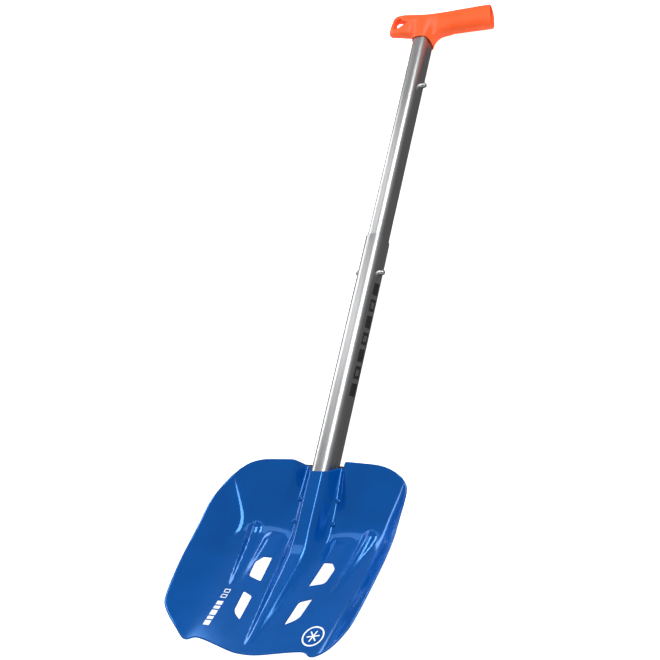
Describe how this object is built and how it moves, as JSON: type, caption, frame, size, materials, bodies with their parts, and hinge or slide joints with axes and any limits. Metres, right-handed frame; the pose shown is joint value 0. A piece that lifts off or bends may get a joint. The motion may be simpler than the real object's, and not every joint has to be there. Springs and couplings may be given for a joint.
{
  "type": "avalanche shovel",
  "caption": "Telescopic avalanche shovel with a ribbed metal blade, an oval shaft in sliding sections with snap buttons, and a hollow one-sided T grip.",
  "frame": {"origin": "middle of the flat back of the blade's socket bracket, on the surface that the shovel lies on", "axes": "+Y up the shaft to the grip, +Z out of the scooping side of the blade, +X towards the grip's long arm"},
  "size_m": [0.2346, 0.8647, 0.0971],
  "materials": {
    "anodised_blue": "glossy blue anodised sheet",
    "brushed_aluminium": "brushed, satin",
    "bright_steel": "bright plated steel",
    "black_nylon": "fine moulded texture",
    "grip_orange": "satin moulded plastic"
  },
  "bodies": {
    "blade": {"blade": "anodised_blue", "socket_bracket": "black_nylon", "bracket_rivet_1": "anodised_blue", "bracket_rivet_2": "anodised_blue", "bracket_rivet_3": "anodised_blue", "bracket_rivet_4": "anodised_blue"},
    "lower_shaft": {"lower_tube": "brushed_aluminium", "shaft_foot_cap": "black_nylon", "blade_lock_spring": "bright_steel"},
    "upper_shaft": {"upper_tube": "brushed_aluminium", "upper_tube_glide": "black_nylon", "extension_spring": "bright_steel", "stow_spring": "bright_steel", "grip_handle": "grip_orange", "grip_rivet_1": "bright_steel", "grip_rivet_2": "bright_steel"},
    "extension_button_right": {"extension_button_right": "bright_steel"},
    "extension_button_left": {"extension_button_left": "bright_steel"},
    "stow_button": {"stow_button": "bright_steel"},
    "blade_lock_button": {"blade_lock_button": "bright_steel"}
  },
  "joints": [
    {"name": "blade_release", "type": "slide", "parent": "blade", "child": "lower_shaft", "axis": [0, 1, 0], "range_m": [0, 0.11], "deforming": ["blade_lock_button"]},
    {"name": "telescope", "type": "slide", "parent": "lower_shaft", "child": "upper_shaft", "axis": [0, 1, 0], "range_m": [-0.273, 0], "deforming": ["extension_button_right", "extension_button_left", "stow_button", "extension_spring", "stow_spring", "blade_lock_spring"]},
    {"name": "extension_press_right", "type": "slide", "parent": "upper_shaft", "child": "extension_button_right", "axis": [1, 0, 0], "range_m": [-0.0072, 0], "deforming": ["extension_spring"]},
    {"name": "extension_press_left", "type": "slide", "parent": "upper_shaft", "child": "extension_button_left", "axis": [-1, 0, 0], "range_m": [-0.0072, 0], "deforming": ["extension_spring"]},
    {"name": "stow_press", "type": "slide", "parent": "upper_shaft", "child": "stow_button", "axis": [1, 0, 0], "range_m": [-0.0072, 0], "stiffness_N_per_m": 1500, "deforming": ["stow_spring"]},
    {"name": "blade_lock_press", "type": "slide", "parent": "lower_shaft", "child": "blade_lock_button", "axis": [0, 0, -1], "range_m": [-0.0036, 0], "stiffness_N_per_m": 1500, "deforming": ["blade_lock_spring"]}
  ],
  "couplings": [
    {"joint": "extension_press_right", "follows": "telescope", "ratio": 0.02636},
    {"joint": "extension_press_left", "follows": "telescope", "ratio": 0.02636}
  ]
}
